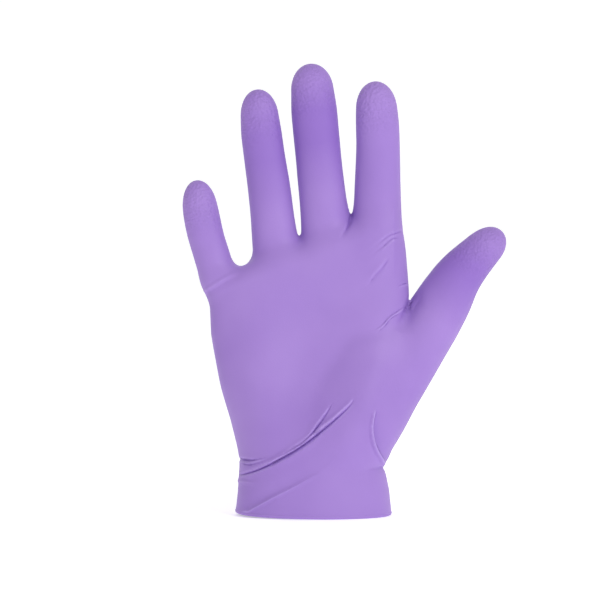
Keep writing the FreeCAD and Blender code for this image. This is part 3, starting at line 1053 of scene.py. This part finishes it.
for name in (*folds, "heel"):
    points, faces, facing, used = shell(quads[labels == name])
    piece = make_mesh(f"{name}_film", points, faces, facing)
    for attribute, values in ATTRIBUTES.items():
        add_attribute(piece, attribute, np.tile(values[used], 2))
    piece.data.materials.append(film_material)
    if name == "heel":
        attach(piece, "palm")
    else:
        fold = folds[name]
        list(fold.bodies)
        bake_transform(piece)
    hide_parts(*STANDS_FOR[name])

# ---------------------------------------------------------------------------------------------------------
# The rolled edge

BEAD_RADIUS = 1.1
# How far inwards of the film's edge the bead's centreline lies, and how far its height wavers
BEAD_INSET = 0.95
BEAD_WAVER = 0.15
BEAD_STATIONS = 240
BEAD_SIDES = 14
BEAD_SMOOTHINGS = 3


def rolled_edge():
    """A cord round the sleeve's lower edge: its points and faces."""
    rim = vertices[np.unique(rim_of(quads))]
    turn = np.arctan2(rim[:, 1], rim[:, 0])
    order = np.argsort(turn)
    grid = np.linspace(-math.pi, math.pi, BEAD_STATIONS + 1)[:-1]
    period = 2 * math.pi
    path = np.stack([np.interp(grid, turn[order], rim[order, i], period=period) for i in range(2)], 1)
    height = BEAD_RADIUS + edge_lift(path[:, 0]) + BEAD_WAVER * np.sin(3 * grid + 1)
    path = np.column_stack([path, height])
    for _ in range(BEAD_SMOOTHINGS):
        path = (np.roll(path, 1, 0) + 2 * path + np.roll(path, -1, 0)) / 4
    tangent = np.roll(path, -1, 0) - np.roll(path, 1, 0)
    outward = np.cross(tangent, (0, 0, 1))
    outward /= np.linalg.norm(outward, axis=1)[:, None]
    path = path - outward * BEAD_INSET
    points = []
    for k in range(BEAD_SIDES):
        t = 2 * math.pi * k / BEAD_SIDES
        rise = np.array((0, 0, BEAD_RADIUS * math.sin(t)))
        points.append(path + outward * BEAD_RADIUS * math.cos(t) + rise)
    points = np.stack(points, 1).reshape(-1, 3)
    i, k = np.meshgrid(np.arange(BEAD_STATIONS), np.arange(BEAD_SIDES), indexing="ij")
    i, k = i.ravel() * BEAD_SIDES, k.ravel()
    next_i, next_k = (i + BEAD_SIDES) % len(points), (k + 1) % BEAD_SIDES
    return points, np.stack([i + k, next_i + k, next_i + next_k, i + next_k], 1)


bead = make_mesh("cuff_bead_roll", *rolled_edge())
bead.data.materials.append(film_material)
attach(bead, "cuff")
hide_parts("cuff_bead")

# ---------------------------------------------------------------------------------------------------------
# The stage, in metres

# The backdrop: half its width, where it curves up behind the glove, the curve's radius and its height
SWEEP_HALF = 6.0
SWEEP_BACK = 1.2
SWEEP_RADIUS = 0.8
SWEEP_HEIGHT = 6.0
SWEEP_STEPS = 12
SWEEP_GLOW = 0.42
CAMERA_DISTANCE = 1.1
CAMERA_X, CAMERA_HEIGHT = -0.0056, 0.101
VIEW_WIDTH = 0.282
SENSOR_WIDTH = 36
# Each lamp's place, power and size
LAMPS = {
    "key": ((0.78, -1.08, 0.75), 7.4, 0.5),
    "top": ((0.0, -0.4, 1.0), 0.7, 0.7),
    "fill": ((-0.9, -1.1, 0.3), 0.5, 0.9),
}
WORLD_STRENGTH = 0.46


def white(name, strength):
    """A matt white that also glows a little."""
    m = bpy.data.materials.new(name)
    m.use_nodes = True
    shader = m.node_tree.nodes["Principled BSDF"]
    shader.inputs["Base Color"].default_value = (0.9, 0.9, 0.9, 1)
    shader.inputs["Roughness"].default_value = 0.9
    shader.inputs["Emission Color"].default_value = (1, 1, 1, 1)
    shader.inputs["Emission Strength"].default_value = strength
    return m


def sweep():
    """A floor that curves up into a backdrop."""
    profile = [(-SWEEP_HALF, 0.0), (SWEEP_BACK, 0.0)]
    for i in range(1, SWEEP_STEPS + 1):
        t = math.pi / 2 * i / SWEEP_STEPS
        profile.append((SWEEP_BACK + SWEEP_RADIUS * math.sin(t), SWEEP_RADIUS - SWEEP_RADIUS * math.cos(t)))
    profile.append((SWEEP_BACK + SWEEP_RADIUS, SWEEP_HEIGHT))
    points = np.array([(x, y, z) for y, z in profile for x in (-SWEEP_HALF, SWEEP_HALF)]) * MM
    faces = np.array([(2 * i, 2 * i + 1, 2 * i + 3, 2 * i + 2) for i in range(len(profile) - 1)])
    o = make_mesh("studio_sweep", points, faces)
    o.data.materials.append(white("studio_white", SWEEP_GLOW))


def camera():
    """Level with the palm and a little over a metre from it."""
    data = bpy.data.cameras.new("camera")
    o = bpy.data.objects.new("camera", data)
    bpy.context.scene.collection.objects.link(o)
    bpy.context.scene.camera = o
    o.location = (CAMERA_X, -CAMERA_DISTANCE, CAMERA_HEIGHT)
    o.rotation_euler = (math.radians(90), 0, 0)
    data.sensor_width = SENSOR_WIDTH
    data.lens = data.sensor_width * CAMERA_DISTANCE / VIEW_WIDTH


def lamp(name, place, energy, size):
    """A square white lamp that points at the middle of the glove."""
    light = bpy.data.lights.new(name, "AREA")
    light.energy, light.size = energy, size
    o = bpy.data.objects.new(name, light)
    bpy.context.scene.collection.objects.link(o)
    o.location = place
    target = (cad_low + cad_high) / 2
    o.rotation_euler = (target - Vector(place)).to_track_quat("-Z", "Y").to_euler()


def surroundings():
    """Even white light from all sides."""
    world = bpy.data.worlds.new("world")
    bpy.context.scene.world = world
    world.use_nodes = True
    background = world.node_tree.nodes["Background"]
    background.inputs["Color"].default_value = (1, 1, 1, 1)
    background.inputs["Strength"].default_value = WORLD_STRENGTH


sweep()
camera()
for name, (place, energy, size) in LAMPS.items():
    lamp(name, place, energy, size)
surroundings()
bpy.context.scene.view_settings.view_transform = "Standard"
